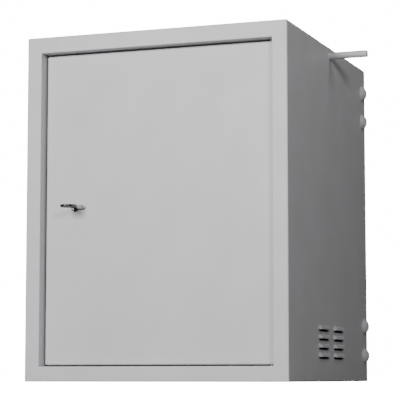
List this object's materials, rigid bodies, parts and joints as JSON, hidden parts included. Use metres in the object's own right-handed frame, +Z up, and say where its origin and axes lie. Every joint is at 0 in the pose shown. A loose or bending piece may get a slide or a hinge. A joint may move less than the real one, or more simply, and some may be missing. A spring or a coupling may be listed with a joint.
{
  "type": "vandal-proof wall cabinet",
  "caption": "Deep sheet-steel wall cabinet for 19-inch equipment, with a recessed key-locked door, louvres low on the sides, dome-headed bolts near the rear and a round peg out of its right side.",
  "frame": {"origin": "the middle of the underside of the base, which the cabinet can stand on", "axes": "+Z is up, -Y is the way the door faces and +Y is the wall side, +X is to the right seen from the front"},
  "size_m": [0.7, 0.6725, 0.756],
  "materials": {
    "case_paint": "fine light-grey polyester powder coat, satin",
    "zinc_steel": "zinc-plated steel",
    "rail_zinc": "zinc-plated sheet steel",
    "lock_nickel": "nickel-plated, satin",
    "key_plastic": "moulded black plastic",
    "seal_rubber": "soft cellular rubber strip",
    "bush_brass": "turned, plain",
    "guide_nylon": "moulded nylon"
  },
  "bodies": {
    "cabinet": {"frame_left": "case_paint", "frame_right": "case_paint", "frame_top": "case_paint", "frame_bottom": "case_paint", "left_side": "case_paint", "right_side": "case_paint", "top_panel": "case_paint", "bottom_panel": "case_paint", "cable_cover": "case_paint", "cable_cover_screws": "zinc_steel", "back_tray": "case_paint", "dome_bolts_left": "case_paint", "dome_bolts_right": "case_paint", "dome_washers_left": "zinc_steel", "dome_washers_right": "zinc_steel", "dome_nuts_left": "zinc_steel", "dome_nuts_right": "zinc_steel", "side_peg": "case_paint", "peg_plate": "case_paint", "peg_nut": "zinc_steel", "support_left_bottom": "case_paint", "support_right_bottom": "case_paint", "support_left_top": "case_paint", "support_right_top": "case_paint", "rack_rail_front_left": "rail_zinc", "rack_rail_front_right": "rail_zinc", "rack_rail_rear_left": "rail_zinc", "rack_rail_rear_right": "rail_zinc", "rail_bolts": "zinc_steel", "rail_nuts": "zinc_steel", "door_seal": "seal_rubber", "hinge_pin_top": "zinc_steel", "hinge_pin_bottom": "zinc_steel", "hinge_washer": "zinc_steel", "ground_stud_case": "zinc_steel", "ground_nut_case": "zinc_steel"},
    "door": {"door": "case_paint", "door_stiffener": "case_paint", "hinge_bush_top": "bush_brass", "hinge_bush_bottom": "bush_brass", "lock_case": "zinc_steel", "lock_screws": "zinc_steel", "lock_cylinder": "lock_nickel", "rod_guide_top": "guide_nylon", "rod_guide_bottom": "guide_nylon", "ground_stud_door": "zinc_steel", "ground_nut_door": "zinc_steel"},
    "key": {"cylinder_plug": "lock_nickel", "key_blade": "lock_nickel", "key_head": "key_plastic"},
    "rod_up": {"lock_rod_top": "zinc_steel"},
    "rod_down": {"lock_rod_bottom": "zinc_steel"}
  },
  "joints": [
    {"name": "door_hinge", "type": "hinge", "parent": "cabinet", "child": "door", "pos_m": [0.255, -0.289, 0.378], "axis": [0, 0, 1], "range_deg": [0, 95]},
    {"name": "key_turn", "type": "hinge", "parent": "door", "child": "key", "pos_m": [-0.193, -0.299, 0.378], "axis": [0, 1, 0], "range_deg": [0, 360]},
    {"name": "rod_top_slide", "type": "slide", "parent": "door", "child": "rod_up", "axis": [0, 0, 1], "range_m": [0, 0.015]},
    {"name": "rod_bottom_slide", "type": "slide", "parent": "door", "child": "rod_down", "axis": [0, 0, -1], "range_m": [0, 0.015]}
  ],
  "couplings": [
    {"joint": "key_turn", "follows": "rod_top_slide", "rad_per_m": 418.88},
    {"joint": "rod_bottom_slide", "follows": "rod_top_slide", "ratio": 1}
  ]
}
